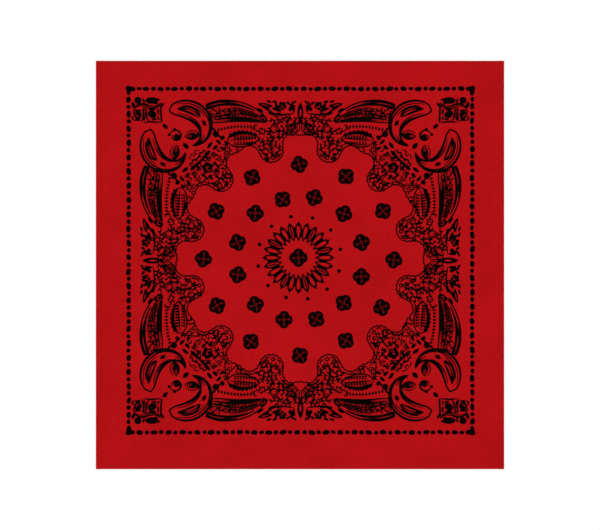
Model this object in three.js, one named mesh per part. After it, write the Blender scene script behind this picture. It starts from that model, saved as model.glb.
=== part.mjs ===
// Square cotton bandana, hemmed on all four sides and laid out flat with its face up.
//
// Frame: millimetres, +Z up. The origin lies on the surface under the middle of the cloth,
// +X points to the right-hand hem and +Y to the top hem.
//
// The cloth is one cut square. Its edges are turned twice and sewn down, so it is modelled as the
// panel inside the stitch lines and one strip for each turned hem. The top and bottom hems are
// sewn last and run the full width, and the left and right hems end against them.

import * as THREE from "three";

// Finished cloth
const CLOTH_SIDE = 550;
const HALF_SIDE = CLOTH_SIDE / 2;
const SEAM_GAP = 0.3;

// Panel
const PANEL_WALL = 1.0;
const RIM_WIDTH = 9;
const RIM_RISE = 0.25;
const PANEL_CELLS = 34;

// The triangles of the panel's flat back meet here, off the middle, so that the middle of the
// cloth lies inside one of them.
const BACK_HUB = { x: 12, y: -7 };

// Hems
const HEM_WIDTH = 6;
const HEM_HEIGHT = 1.7;
const CORNER_RISE = 0.4;
const PUCKER_RISE = 0.1;
const HEM_STEPS = 40;

// Shade of the dyed cotton
const DYED_RED = 0xb01216;
const COTTON_ROUGHNESS = 0.92;

const PANEL_HALF = HALF_SIDE - HEM_WIDTH - SEAM_GAP;

// Soft swells where the relaxed cloth stands a little off the surface. Each is an oval centred on
// x, y, turned by `turn` degrees from +X, and it adds `lift` to the face at its middle.
const SWELLS = [
  { name: "top_left", x: -142, y: 118, length: 230, width: 84, turn: 38, lift: 0.34 },
  { name: "top_right", x: 128, y: 152, length: 190, width: 66, turn: -22, lift: 0.26 },
  { name: "middle", x: 22, y: -18, length: 300, width: 96, turn: 12, lift: 0.3 },
  { name: "bottom_left", x: -168, y: -132, length: 160, width: 72, turn: -41, lift: 0.28 },
  { name: "bottom_right", x: 150, y: -140, length: 240, width: 78, turn: 55, lift: 0.36 },
];

// One turned hem, cut across: `out` is the distance from its stitched edge as a share of the hem's
// width, and `up` is the height as a share of the hem's height.
const HEM_SECTION = [
  { place: "stitched edge, back", out: 0, up: 0 },
  { place: "back of the fold", out: 0.88, up: 0 },
  { place: "fold, lower curve", out: 0.97, up: 0.2 },
  { place: "fold, outermost", out: 1, up: 0.5 },
  { place: "fold, upper curve", out: 0.97, up: 0.8 },
  { place: "face of the fold", out: 0.87, up: 0.97 },
  { place: "crown", out: 0.5, up: 1 },
  { place: "face at the stitches", out: 0.12, up: 0.9 },
  { place: "stitched edge, face", out: 0, up: 0.74 },
];

// `turn` carries each hem from the top edge round to its own, in degrees. `full` hems reach the
// cloth's corners, and the others stop short of them.
const HEMS = [
  { name: "hem_top", turn: 0, full: true },
  { name: "hem_left", turn: 90, full: false },
  { name: "hem_bottom", turn: 180, full: true },
  { name: "hem_right", turn: 270, full: false },
];

function cottonMaterial() {
  return new THREE.MeshStandardMaterial({
    color: DYED_RED,
    roughness: COTTON_ROUGHNESS,
    metalness: 0,
  });
}

// A geometry from a flat list of corners and a list of triangles.
function closedGeometry(corners, triangles) {
  const geometry = new THREE.BufferGeometry();
  geometry.setAttribute("position", new THREE.Float32BufferAttribute(corners, 3));
  geometry.setIndex(triangles);
  geometry.computeVertexNormals();
  return geometry;
}

// Falls smoothly from 1 at t = 0 to 0 at t = 1 and beyond.
function softFall(t) {
  const held = Math.min(Math.abs(t), 1);
  return 0.5 * (1 + Math.cos(Math.PI * held));
}

// Height that one swell adds at x, y.
function swellLift(swell, x, y) {
  const angle = THREE.MathUtils.degToRad(swell.turn);
  const along = (x - swell.x) * Math.cos(angle) + (y - swell.y) * Math.sin(angle);
  const across = (y - swell.y) * Math.cos(angle) - (x - swell.x) * Math.sin(angle);
  const reach = Math.hypot((2 * along) / swell.length, (2 * across) / swell.width);
  return swell.lift * softFall(reach);
}

// Height of the panel's face: the wall, the swells, and the rise onto the hems at the rim.
function faceHeight(x, y) {
  const toRim = PANEL_HALF - Math.max(Math.abs(x), Math.abs(y));
  const lifts = SWELLS.map((swell) => swellLift(swell, x, y));
  const swells = lifts.reduce((sum, lift) => sum + lift, 0);
  return PANEL_WALL + swells + RIM_RISE * softFall(toRim / RIM_WIDTH);
}

// Places of the panel's grid lines: one at each rim, one where the rim's rise starts, and the
// rest evenly spaced between.
function gridLines() {
  const inner = PANEL_HALF - RIM_WIDTH;
  const even = Array.from({ length: PANEL_CELLS + 1 }, (_, i) => -inner + (2 * inner * i) / PANEL_CELLS);
  return [-PANEL_HALF, ...even, PANEL_HALF];
}

// Numbers of the grid's border corners, in order round the panel, anticlockwise from above.
function borderLoop(count) {
  const last = count - 1;
  const front = Array.from({ length: last }, (_, i) => i);
  const right = Array.from({ length: last }, (_, j) => j * count + last);
  const back = Array.from({ length: last }, (_, i) => last * count + last - i);
  const left = Array.from({ length: last }, (_, j) => (last - j) * count);
  return [...front, ...right, ...back, ...left];
}

// The panel: a face of soft swells over a flat back, joined by an upright edge.
function panelGeometry() {
  const lines = gridLines();
  const count = lines.length;
  const corners = lines.flatMap((y) => lines.flatMap((x) => [x, y, faceHeight(x, y)]));
  const triangles = [];
  for (let j = 0; j < count - 1; j += 1) {
    for (let i = 0; i < count - 1; i += 1) {
      const near = j * count + i;
      const far = near + count;
      triangles.push(near, near + 1, far + 1, near, far + 1, far);
    }
  }
  const loop = borderLoop(count);
  const backStart = corners.length / 3;
  loop.forEach((top) => corners.push(corners[3 * top], corners[3 * top + 1], 0));
  const hub = corners.length / 3;
  corners.push(BACK_HUB.x, BACK_HUB.y, 0);
  loop.forEach((top, k) => {
    const next = (k + 1) % loop.length;
    const back = backStart + k;
    const nextBack = backStart + next;
    triangles.push(top, back, nextBack, top, nextBack, loop[next]);
    triangles.push(back, hub, nextBack);
  });
  return closedGeometry(corners, triangles);
}

// Places of a hem's sections along its run: at both ends, where the corner's extra layers stop,
// and evenly between.
function hemStations(run) {
  const first = 2 * HEM_WIDTH;
  const span = run - 2 * first;
  const even = Array.from({ length: HEM_STEPS + 1 }, (_, i) => first + (span * i) / HEM_STEPS);
  return [0, HEM_WIDTH, ...even, run - HEM_WIDTH, run];
}

// Height of a hem at one of its sections: the pucker rises at every second one, and a full hem
// is thicker over the corners, where it lies on the ends of the other hems.
function hemHeight(hem, station, index, run) {
  const pucker = index % 2 === 0 ? PUCKER_RISE : 0;
  const toEnd = Math.min(station, run - station);
  const corner = hem.full && toEnd <= HEM_WIDTH ? CORNER_RISE : 0;
  return HEM_HEIGHT + pucker + corner;
}

// A hem along the top edge: its section carried from left to right, with a cap at each end.
function hemGeometry(hem) {
  const run = hem.full ? CLOTH_SIDE : CLOTH_SIDE - 2 * (HEM_WIDTH + SEAM_GAP);
  const stations = hemStations(run);
  const sides = HEM_SECTION.length;
  const inner = HALF_SIDE - HEM_WIDTH;
  const corners = stations.flatMap((station, index) => {
    const height = hemHeight(hem, station, index, run);
    return HEM_SECTION.flatMap(({ out, up }) => [station - run / 2, inner + HEM_WIDTH * out, height * up]);
  });
  const triangles = [];
  for (let s = 0; s < stations.length - 1; s += 1) {
    for (let k = 0; k < sides; k += 1) {
      const here = s * sides + k;
      const beside = s * sides + ((k + 1) % sides);
      triangles.push(here, beside, beside + sides, here, beside + sides, here + sides);
    }
  }
  const end = (stations.length - 1) * sides;
  for (let k = 1; k < sides - 1; k += 1) {
    triangles.push(0, k + 1, k);
    triangles.push(end, end + k, end + k + 1);
  }
  return closedGeometry(corners, triangles);
}

function namedMesh(name, geometry) {
  const mesh = new THREE.Mesh(geometry, cottonMaterial());
  mesh.name = name;
  return mesh;
}

function hemMesh(hem) {
  const mesh = namedMesh(hem.name, hemGeometry(hem));
  mesh.rotation.z = THREE.MathUtils.degToRad(hem.turn);
  return mesh;
}

const bandana = new THREE.Group();
bandana.add(namedMesh("panel", panelGeometry()));
HEMS.forEach((hem) => bandana.add(hemMesh(hem)));

export default bandana;
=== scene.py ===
"""A square cotton bandana, laid out flat with its printed face up, as a fabric workshop would make it.

The cloth is one cut of red cotton. Its edges are turned twice and stitched down, and its face is
printed in black: a frame of beads, paisleys, wings and scrolls in the corners, a lace edge round
the open middle, and a ring of flowers round a daisy.
"""

from __future__ import annotations

import logging
from dataclasses import dataclass
from enum import Enum, IntEnum
from typing import Sequence

import bpy
import numpy as np
from mathutils.geometry import delaunay_2d_cdt
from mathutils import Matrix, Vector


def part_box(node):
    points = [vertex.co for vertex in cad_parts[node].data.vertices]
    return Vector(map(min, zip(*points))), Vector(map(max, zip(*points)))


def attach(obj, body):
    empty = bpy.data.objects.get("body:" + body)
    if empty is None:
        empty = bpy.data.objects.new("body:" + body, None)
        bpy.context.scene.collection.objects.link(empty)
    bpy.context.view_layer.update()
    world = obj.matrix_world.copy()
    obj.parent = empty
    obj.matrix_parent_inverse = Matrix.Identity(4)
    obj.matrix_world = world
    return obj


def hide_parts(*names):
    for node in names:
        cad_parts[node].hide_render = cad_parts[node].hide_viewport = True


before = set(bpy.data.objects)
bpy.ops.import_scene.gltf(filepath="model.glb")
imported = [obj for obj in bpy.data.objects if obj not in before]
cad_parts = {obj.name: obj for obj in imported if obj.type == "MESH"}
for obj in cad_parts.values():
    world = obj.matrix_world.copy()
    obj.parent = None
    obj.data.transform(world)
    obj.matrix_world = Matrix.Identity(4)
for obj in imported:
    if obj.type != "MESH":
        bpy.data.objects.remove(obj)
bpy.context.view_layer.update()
LOG = logging.getLogger("bandana")
MM = 0.001


# --------------------------------------------------------------------------- drawing the print
# The print is drawn flat, in millimetres from its own middle, +x to the right and +y to the top.

# How far the ink spreads into the cotton on each side of a printed line, and how much it narrows a bare one.
SPREAD = 0.4
CREEP = -0.03


class Ink(IntEnum):
    """How a printed shape covers what lies below it. Odd layers are ink and even ones bare cloth."""

    PRINTED = 1
    RESERVED = 2


class Press(Enum):
    """How the pen is pressed along a stroke."""

    EVEN = "the same width throughout"
    SWELL = "thin, thick and thin again"
    TAIL = "thick, then thin"

    def along(self, count: int) -> np.ndarray:
        """The share of the full width at evenly spaced places along a stroke.

        An even stroke has eased ends, a swelling one follows a half sine, and a tailing one
        falls from its start.

        Args:
            count: number of places.

        Returns:
            The shares, from about 0.1 to 1.
        """
        t = np.linspace(0.0, 1.0, count)
        if self is Press.EVEN:
            return np.minimum(1.0, 0.55 + 4.0 * np.minimum(t, 1.0 - t))
        if self is Press.SWELL:
            return 0.1 + 0.9 * np.sin(np.pi * t) ** 0.8
        return (0.1 + 0.9 * (1.0 - t) ** 0.8) * np.minimum(1.0, 0.6 + 4.0 * t)


@dataclass(frozen=True)
class Artwork:
    """Flat printed shapes, made of four-cornered facets.

    Attributes:
        corners: places of the facets' corners, one row each, in millimetres.
        facets: four corner numbers to a facet.
        layers: the Ink layer of each facet.
    """

    corners: np.ndarray
    facets: np.ndarray
    layers: np.ndarray

    @classmethod
    def joined(cls, parts: Sequence["Artwork"]) -> "Artwork":
        """All the parts as one artwork, with the corner numbers moved along.

        Args:
            parts: the artworks to join.

        Returns:
            One artwork that holds them all.
        """
        starts = np.cumsum([0] + [len(part.corners) for part in parts[:-1]])
        return cls(
            np.concatenate([part.corners for part in parts]),
            np.concatenate([part.facets + start for part, start in zip(parts, starts)]),
            np.concatenate([part.layers for part in parts]),
        )

    def printed_only(self) -> "Artwork":
        """The facets of the first ink layer, with the corners that they use."""
        facets = self.facets[self.layers == Ink.PRINTED]
        used, numbers = np.unique(facets, return_inverse=True)
        return Artwork(self.corners[used], numbers.reshape(-1, 4), np.full(len(facets), int(Ink.PRINTED)))

    def copied(self, moves: Sequence[np.ndarray]) -> "Artwork":
        """One copy for each move, a 2 by 3 matrix that turns, scales, mirrors and shifts.

        Args:
            moves: the matrices.

        Returns:
            The copies as one artwork.
        """
        stack = np.asarray(moves, float).reshape(-1, 2, 3)
        spots = np.einsum("kij,nj->kni", stack[:, :, :2], self.corners) + stack[:, None, :, 2]
        starts = np.arange(len(stack))[:, None, None] * len(self.corners)
        facets = (self.facets[None] + starts).reshape(-1, 4)
        return Artwork(spots.reshape(-1, 2), facets, np.tile(self.layers, len(stack)))


def move(x: float = 0.0, y: float = 0.0, turn: float = 0.0, scale: float = 1.0) -> np.ndarray:
    """The matrix that scales, turns and then shifts.

    Args:
        x: shift to the right.
        y: shift to the top.
        turn: anticlockwise turn in degrees.
        scale: growth about the origin.

    Returns:
        The 2 by 3 matrix.
    """
    angle = np.radians(turn)
    cos, sin = scale * np.cos(angle), scale * np.sin(angle)
    return np.array([[cos, -sin, x], [sin, cos, y]])


def after(outer: np.ndarray, inner: np.ndarray) -> np.ndarray:
    """The move that makes the inner move first and then the outer one."""
    shift = outer[:, :2] @ inner[:, 2] + outer[:, 2]
    return np.column_stack([outer[:, :2] @ inner[:, :2], shift])


def wheel(count: int, first: float = 0.0) -> list[np.ndarray]:
    """Turns about the print's middle, evenly spaced, from the angle of the first in degrees."""
    return [move(turn=first + 360.0 * step / count) for step in range(count)]


def polar(radius: float | np.ndarray, degrees: float | np.ndarray) -> np.ndarray:
    """Points at a radius and an angle: radius times the cosine and the sine."""
    angle = np.radians(degrees)
    return np.stack(np.broadcast_arrays(radius * np.cos(angle), radius * np.sin(angle)), -1)


def arc(centre: Sequence[float], radius: float, start: float, sweep: float, count: int = 13) -> np.ndarray:
    """A path on a circle.

    Args:
        centre: the circle's centre.
        radius: its radius.
        start: angle of the first point, in degrees.
        sweep: angle that the path covers.
        count: number of points.

    Returns:
        The path, one row to a point.
    """
    return curl(centre, (radius, radius), start, sweep, count)


def curl(
    centre: Sequence[float], radii: tuple[float, float], start: float, sweep: float, count: int = 21
) -> np.ndarray:
    """A spiral path: the radius changes evenly as the angle turns.

    Args:
        centre: the spiral's centre.
        radii: radius at the start and at the end.
        start: angle of the first point, in degrees.
        sweep: angle that the path covers.
        count: number of points.

    Returns:
        The path, one row to a point.
    """
    t = np.linspace(0.0, 1.0, count)
    return np.asarray(centre, float) + polar(radii[0] + (radii[1] - radii[0]) * t, start + sweep * t)


def bow(start: Sequence[float], end: Sequence[float], bend: float = 0.0, count: int = 9) -> np.ndarray:
    """A path from start to end, pushed sideways by a parabola that is bend high in the middle.

    Args:
        start: first point.
        end: last point.
        bend: height of the parabola, to the left of the way from start to end.
        count: number of points.

    Returns:
        The path, one row to a point.
    """
    first, last = np.asarray(start, float), np.asarray(end, float)
    t = np.linspace(0.0, 1.0, count)[:, None]
    way = last - first
    left = np.array([-way[1], way[0]]) / np.linalg.norm(way)
    return first + way * t + left * (4.0 * bend * t * (1.0 - t))


def through(knots: Sequence[Sequence[float]], count: int) -> np.ndarray:
    """A smooth path through its knots: cubic stretches whose slope at a knot is that of its neighbours.

    Args:
        knots: the points that the path passes through.
        count: number of points on the path.

    Returns:
        The path, one row to a point.
    """
    inner = np.asarray(knots, float)
    k = np.concatenate([2 * inner[:1] - inner[1:2], inner, 2 * inner[-1:] - inner[-2:-1]])
    at = np.concatenate([[0.0], np.cumsum(np.sqrt(np.linalg.norm(np.diff(k, axis=0), axis=1)))])
    slope = np.zeros_like(k)
    slope[1:-1] = (k[2:] - k[:-2]) / (at[2:] - at[:-2])[:, None]
    places = np.linspace(at[1], at[-2], count)
    i = np.clip(np.searchsorted(at, places, side="right") - 1, 1, len(k) - 3)
    step = (at[i + 1] - at[i])[:, None]
    t = (places - at[i])[:, None] / step
    ends = (1 + 2 * t) * (1 - t) ** 2 * k[i] + t * t * (3 - 2 * t) * k[i + 1]
    slopes = t * (1 - t) ** 2 * slope[i] + t * t * (t - 1) * slope[i + 1]
    return ends + step * slopes


def leftward(path: np.ndarray) -> np.ndarray:
    """Unit vectors to the left of a path, or of many paths, at each of its points."""
    ahead = np.gradient(path, axis=-2)
    ahead = ahead / np.maximum(np.linalg.norm(ahead, axis=-1, keepdims=True), 1e-9)
    return np.stack([-ahead[..., 1], ahead[..., 0]], -1)


def beside(spine: np.ndarray, half: np.ndarray, side: float, first: int, last: int) -> np.ndarray:
    """A path beside a spine, over a stretch of its points.

    Args:
        spine: the middle line of a shape.
        half: half of the shape's width at each of its points.
        side: share of that half width by which the path lies to the spine's left.
        first: number of the stretch's first point.
        last: number of the point after its last one.

    Returns:
        The path.
    """
    return (spine + side * half[:, None] * leftward(spine))[first:last]


def around(spine: np.ndarray, half: np.ndarray) -> np.ndarray:
    """The closed outline of a shape: out along the left of its spine and back along the right.

    Args:
        spine: the middle line of the shape.
        half: half of the shape's width at each of its points, zero where it is pointed.

    Returns:
        The outline, without the points that would stand twice at a pointed end.
    """
    left = beside(spine, half, 1.0, 0, len(spine))
    right = beside(spine, half, -1.0, 0, len(spine))
    path = np.concatenate([left, right[::-1], left[:1]])
    steps = np.sqrt(np.sum(np.diff(path, axis=0) ** 2, axis=1))
    return path[np.append(True, steps > 1e-6)]


def ribbon(path: np.ndarray, half: float | np.ndarray, ink: Ink = Ink.PRINTED) -> Artwork:
    """A stroke's facets: corners to the left and right of the path, joined by four-cornered facets.

    Args:
        path: one path, or many of the same number of points.
        half: half of the stroke's width, all along or at each point.
        ink: layer of the stroke.

    Returns:
        The strokes as artwork.
    """
    count = path.shape[-2]
    many = path.reshape(-1, count, 2)
    wide = np.maximum(np.asarray(half) + (-CREEP if ink is Ink.RESERVED else SPREAD), 0.08)
    out = leftward(many) * np.broadcast_to(wide, path.shape[:-1]).reshape(-1, count, 1)
    corners = np.stack([many + out, many - out], 2).reshape(-1, 2)
    step = 2 * np.arange(count - 1)
    one = np.stack([step, step + 1, step + 3, step + 2], -1)
    facets = (one[None] + (np.arange(len(many)) * 2 * count)[:, None, None]).reshape(-1, 4)
    return Artwork(corners, facets, np.full(len(facets), int(ink)))


def stroke(path: np.ndarray, width: float, press: Press = Press.SWELL, ink: Ink = Ink.PRINTED) -> Artwork:
    """A pen stroke along a path, as wide as its press says at each point."""
    return ribbon(path, 0.5 * width * press.along(path.shape[-2]), ink)


def leaf(
    start: Sequence[float],
    end: Sequence[float],
    width: float,
    bend: float = 0.0,
    ink: Ink = Ink.PRINTED,
    count: int = 9,
) -> Artwork:
    """A filled leaf from start to end: a swelling stroke along a bow."""
    return stroke(bow(start, end, bend, count), width, Press.SWELL, ink)


def disc(
    centre: Sequence[float],
    radii: tuple[float, float],
    turn: float = 0.0,
    ink: Ink = Ink.PRINTED,
    count: int = 9,
) -> Artwork:
    """A filled oval: a stroke along its long axis whose half width follows the ellipse.

    Args:
        centre: middle of the oval.
        radii: half of its length and half of its width.
        turn: angle of the long axis, in degrees.
        ink: layer of the oval.
        count: number of places along the axis.

    Returns:
        The oval as artwork.
    """
    t = np.pi * np.linspace(0.0, 1.0, count)
    path = np.asarray(centre, float) - polar(radii[0], turn) * np.cos(t)[:, None]
    return ribbon(path, radii[1] * np.maximum(np.sin(t), 0.05), ink)


def ring(
    centre: Sequence[float], radius: float, width: float, ink: Ink = Ink.PRINTED, count: int = 13
) -> Artwork:
    """A circle drawn with an even line."""
    return ribbon(arc(centre, radius, 0.0, 360.0, count), 0.5 * width, ink)


def rosette(
    centre: Sequence[float],
    radius: float,
    lobes: int,
    depth: float,
    turn: float = 0.0,
    ink: Ink = Ink.PRINTED,
    count: int = 33,
) -> Artwork:
    """A filled shape with round lobes: its radius dips by a share of itself between the lobes.

    Args:
        centre: middle of the rosette.
        radius: its reach at the tip of a lobe.
        lobes: number of lobes.
        depth: share of the radius that is lost between two lobes.
        turn: angle of the first lobe, in degrees.
        ink: layer of the rosette.
        count: number of places round the outline.

    Returns:
        The rosette as artwork.
    """
    angle = np.linspace(0.0, 360.0, count)
    dip = 1.0 - np.abs(np.cos(np.radians(0.5 * lobes * (angle - turn)))) ** 0.7
    reach = radius * (1.0 - depth * dip)
    path = np.asarray(centre, float) + polar(0.52 * reach, angle)
    corners = np.stack([path + polar(0.48 * reach, angle), path - polar(0.48 * reach, angle)], 1)
    flat = ribbon(path, 1.0, ink)
    return Artwork(corners.reshape(-1, 2), flat.facets, flat.layers)


# --------------------------------------------------------------------------- the printed design
# Corner measure runs u to the right and v down from the top left corner of the bead frame. The
# corner motifs are drawn once in it, and then mirrored into the eight half corners.

FRAME_HALF = 231.5
CORNER = np.array([[1.0, 0.0, -FRAME_HALF], [0.0, -1.0, FRAME_HALF]])
SWAP = np.array([[0.0, 1.0, 0.0], [1.0, 0.0, 0.0]])
FLIPS = [np.array([[x, 0.0, 0.0], [0.0, y, 0.0]]) for x in (1.0, -1.0) for y in (1.0, -1.0)]
CORNERS = [after(flip, CORNER) for flip in FLIPS]
HALF_CORNERS = CORNERS + [after(corner, SWAP) for corner in CORNERS]


def inside(places: np.ndarray, outline: np.ndarray) -> np.ndarray:
    """Which places lie within a closed outline: a ray to the right crosses its edges an odd number of times.

    Args:
        places: the places, one row each.
        outline: the outline's corners in order.

    Returns:
        True for each place inside.
    """
    a, b = outline, np.roll(outline, -1, axis=0)
    x, y = places[:, :1], places[:, 1:]
    spans = (a[:, 1] > y) != (b[:, 1] > y)
    rise = np.where(b[:, 1] == a[:, 1], 1.0, b[:, 1] - a[:, 1])
    crossing = a[:, 0] + (y - a[:, 1]) * (b[:, 0] - a[:, 0]) / rise
    return (np.sum(spans & (x < crossing), axis=1) % 2).astype(bool)


def clearance(places: np.ndarray, path: np.ndarray) -> np.ndarray:
    """Distance from each place to the nearest point of a path."""
    return np.sqrt(np.min(np.sum((places[:, None] - path[None]) ** 2, axis=2), axis=1))


@dataclass(frozen=True)
class BeadFrame:
    """The frame of beads: large and small in turn, with a dark knot at each corner.

    Attributes:
        per_side: number of bead places on a side.
        large: half of a large bead's length and height.
        small: half of a small bead's length and height.
        knot: half of a corner knot's size.
        start: how much nearer to its left end the row starts than one bead place.
        seed: start of the random draws for the beads' unevenness.
    """

    per_side: int = 48
    large: tuple[float, float] = (4.8, 2.9)
    small: tuple[float, float] = (3.3, 2.5)
    knot: float = 4.4
    start: float = 5.4
    seed: int = 7

    def draw(self) -> Artwork:
        """Draws one side and turns it round the print: each bead is an oval a little off its place."""
        draws = np.random.default_rng(self.seed)
        pitch = 2.0 * FRAME_HALF / self.per_side
        beads = []
        for place in range(1, self.per_side + 1):
            half = self.large if place % 2 else self.small
            size = np.array(half) * draws.uniform(0.88, 1.08, 2)
            spot = np.array([pitch * place - self.start - FRAME_HALF, FRAME_HALF])
            spot = spot + draws.uniform(-0.4, 0.4, 2)
            beads.append(disc(spot, tuple(size), draws.uniform(-14.0, 14.0), count=7))
        knot = [
            disc((FRAME_HALF, FRAME_HALF), (self.knot, self.knot * 0.85), 45.0, count=7),
            leaf((FRAME_HALF - 8.5, FRAME_HALF), (FRAME_HALF + 1.5, FRAME_HALF), 5.4, count=7),
            leaf((FRAME_HALF, FRAME_HALF - 8.5), (FRAME_HALF, FRAME_HALF + 1.5), 5.4, count=7),
        ]
        return Artwork.joined(beads + knot).copied(wheel(4))


@dataclass(frozen=True)
class Middle:
    """The daisy in the middle, the flowers on two rings round it, and the dots between them.

    The daisy, the flowers and the dots stand a little off the print's own middle.

    Attributes:
        petals: number of the daisy's petals.
        petal_root: radius at which the petals start.
        petal_tip: radius at which they end.
        petal_half: half of a petal's width.
        heart: place of the daisy's middle.
        flower: reach of a flower's lobes.
        dots_at: radius of the ring of dots.
        dots_turn: angle of the first dot.
        dots_middle: middle of the ring of dots.
        rings_middle: middle of the two rings of flowers.
        outer_ring: radius of the outer ring of flowers.
        inner_ring: radius of the inner one.
        per_ring: number of flowers on a ring.
        shake: how far a flower may stand off its place, each way.
        seed: start of the random draws for the flowers' places and turns.
    """

    petals: int = 24
    petal_root: float = 23.0
    petal_tip: float = 47.5
    petal_half: float = 3.5
    heart: tuple[float, float] = (-2.7, 3.8)
    flower: float = 11.9
    dots_at: float = 56.5
    dots_turn: float = 11.5
    dots_middle: tuple[float, float] = (-1.5, 3.8)
    rings_middle: tuple[float, float] = (-1.5, 1.9)
    outer_ring: float = 129.0
    inner_ring: float = 85.0
    per_ring: int = 12
    shake: float = 2.0
    seed: int = 3

    def one_flower(self, reach: float) -> Artwork:
        """A four-lobed flower with bare veins and a bare eye.

        Args:
            reach: distance from its middle to the tips of its lobes.

        Returns:
            The flower, with a lobe along +x.
        """
        parts = [
            rosette((0.0, 0.0), reach, 4, 0.2, 0.0),
            disc((0.0, 0.0), (reach * 0.5, reach * 0.5), count=7),
            ring((0.0, 0.0), reach * 0.14, 0.36, Ink.RESERVED, 9),
        ]
        for quarter in range(4):
            angle = 90.0 * quarter
            vein = bow(polar(reach * 0.2, angle + 8.0), polar(reach * 0.8, angle - 6.0), 0.8, 6)
            fork = bow(polar(reach * 0.4, angle), polar(reach * 0.66, angle + 26.0), -0.5, 5)
            parts.append(stroke(vein, 0.36, Press.SWELL, Ink.RESERVED))
            parts.append(stroke(fork, 0.32, Press.TAIL, Ink.RESERVED))
        return Artwork.joined(parts)

    def daisy(self) -> Artwork:
        """The daisy: outlined petals, black wedges at their roots, and a flower for its heart.

        A petal's outline runs out along one side and back along the other, and its half width
        follows a sine of the way out.
        """
        t = np.linspace(0.0, 1.0, 13)
        way = 1.0 - np.abs(2.0 * t - 1.0)
        side = np.where(t < 0.5, -1.0, 1.0) * (np.abs(t - 0.5) > 1e-6)
        radius = self.petal_root + (self.petal_tip - self.petal_root) * way
        outline = np.stack([radius, self.petal_half * np.sin(0.84 * np.pi * way) * side], -1)
        wedge = np.stack([np.linspace(self.petal_root + 4.0, 42.0, 6), np.zeros(6)], -1)
        vein = np.stack([np.linspace(30.0, 44.0, 5), np.full(5, 0.2)], -1)
        step = 360.0 / self.petals
        return Artwork.joined([
            stroke(outline, 1.5, Press.EVEN).copied(wheel(self.petals)),
            leaf((41.5, 0.0), (self.petal_tip + 1.2, 0.0), 1.9, count=5).copied(wheel(self.petals)),
            stroke(wedge, 3.2, Press.SWELL).copied(wheel(self.petals // 2, 0.5 * step)),
            stroke(wedge[:-1], 1.6, Press.SWELL).copied(wheel(self.petals // 2, 1.5 * step)),
            stroke(vein, 1.5, Press.SWELL).copied(wheel(self.petals // 3, step)),
            self.one_flower(12.6),
        ]).copied([move(*self.heart)])

    def flower_moves(self) -> list[np.ndarray]:
        """Where the flowers stand: two rings at even angles, the inner one half a step round.

        Each flower is shaken a little off its place and turned by chance.

        Returns:
            One move for each flower.
        """
        draws = np.random.default_rng(self.seed)
        step = 360.0 / self.per_ring
        at = step * np.arange(self.per_ring)
        spots = np.concatenate([polar(self.outer_ring, at), polar(self.inner_ring, at + 0.5 * step)])
        spots = spots + self.rings_middle + draws.uniform(-self.shake, self.shake, spots.shape)
        return [move(*spot, turn) for spot, turn in zip(spots, draws.uniform(0.0, 90.0, len(spots)))]

    def draw(self) -> Artwork:
        """Draws the daisy, the flowers and the ring of dots."""
        flowers = self.one_flower(self.flower).copied(self.flower_moves())
        dots = disc((self.dots_at, 0.0), (2.5, 2.3), count=6).copied(wheel(12, self.dots_turn))
        return Artwork.joined([self.daisy(), flowers, dots.copied([move(*self.dots_middle)])])


@dataclass(frozen=True)
class LaceEdge:
    """The edge of the open middle: twelve rounded fingers point inwards, with an arch between each two.

    Attributes:
        line: width of the outer line.
        hairs: number of small waves on it between the middles of two arches.
        fingers: number of fingers.
        finger: half of a finger's width.
        root: distance from the middle at which a finger's round tip starts.
        fillet: radius at which a finger turns into the arch.
        arch: distance from the middle to the top of an arch.
        middle: place of the lace's middle.
    """

    line: float = 1.2
    hairs: int = 21
    fingers: int = 12
    finger: float = 16.2
    root: float = 151.0
    fillet: float = 14.3
    arch: float = 166.0
    middle: tuple[float, float] = (-0.4, 2.8)

    def edge(self, count: int) -> np.ndarray:
        """The lace's line over one finger and half an arch on each side, from left to right.

        A quarter circle forms half of the finger's tip, a smaller one turns into the arch, and
        the arch ends half a step round.

        Args:
            count: number of points on the line.

        Returns:
            The line's points.
        """
        tip = arc((0.0, self.root), self.finger, -90.0, 90.0, 4)
        turn = arc((self.finger + self.fillet, self.root), self.fillet, 180.0, -90.0, 4)[1:]
        middle = polar(self.arch, 90.0 - 180.0 / self.fingers)[None]
        right = np.concatenate([tip, turn, middle])
        left = right[:0:-1] * (-1.0, 1.0)
        return through(np.concatenate([left, right]), count)

    def field(self) -> np.ndarray:
        """The whole outline of the open middle, in the print's measure."""
        one = self.edge(25)[:-1]
        turns = [move(turn=-360.0 * step / self.fingers - 15.0)[:, :2] for step in range(self.fingers)]
        return np.concatenate([one @ turn.T for turn in turns]) + self.middle

    def draw(self) -> Artwork:
        """Draws one finger with its arches, its tip ring and its loops, and turns it round the middle.

        The outer line waves from side to side by a sine of the way along it.
        """
        edge = self.edge(4 * self.hairs + 1)
        way = np.linspace(0.0, 1.0, len(edge))
        hair = edge + leftward(edge) * (0.6 * np.sin(2.0 * np.pi * self.hairs * way))[:, None]
        parts = [
            ribbon(hair, 0.5 * self.line),
            ring((0.0, 140.4), 2.2, 1.2, count=9),
            stroke(through([(0.4, 144.0), (1.6, 149.0), (-1.0, 155.0), (0.8, 161.0), (0.0, 169.0)], 9), 1.7),
        ]
        for side in (-1.0, 1.0):
            parts += [
                stroke(through([(side * 4.2, 139.6), (side * 8.4, 140.6), (side * 11.4, 144.6)], 6), 1.4),
                stroke(through([(side * 12.6, 148.6), (side * 12.0, 153.0), (side * 14.4, 158.0)], 6), 1.4),
                stroke(through([
                    (side * 16.0, 162.4), (side * 21.0, 166.6), (side * 28.0, 168.4), (side * 36.0, 168.0),
                ], 8), 1.3),
            ]
        turns = [move(turn=360.0 * step / self.fingers - 75.0) for step in range(self.fingers)]
        return Artwork.joined(parts).copied(turns).copied([move(*self.middle)])


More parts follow.
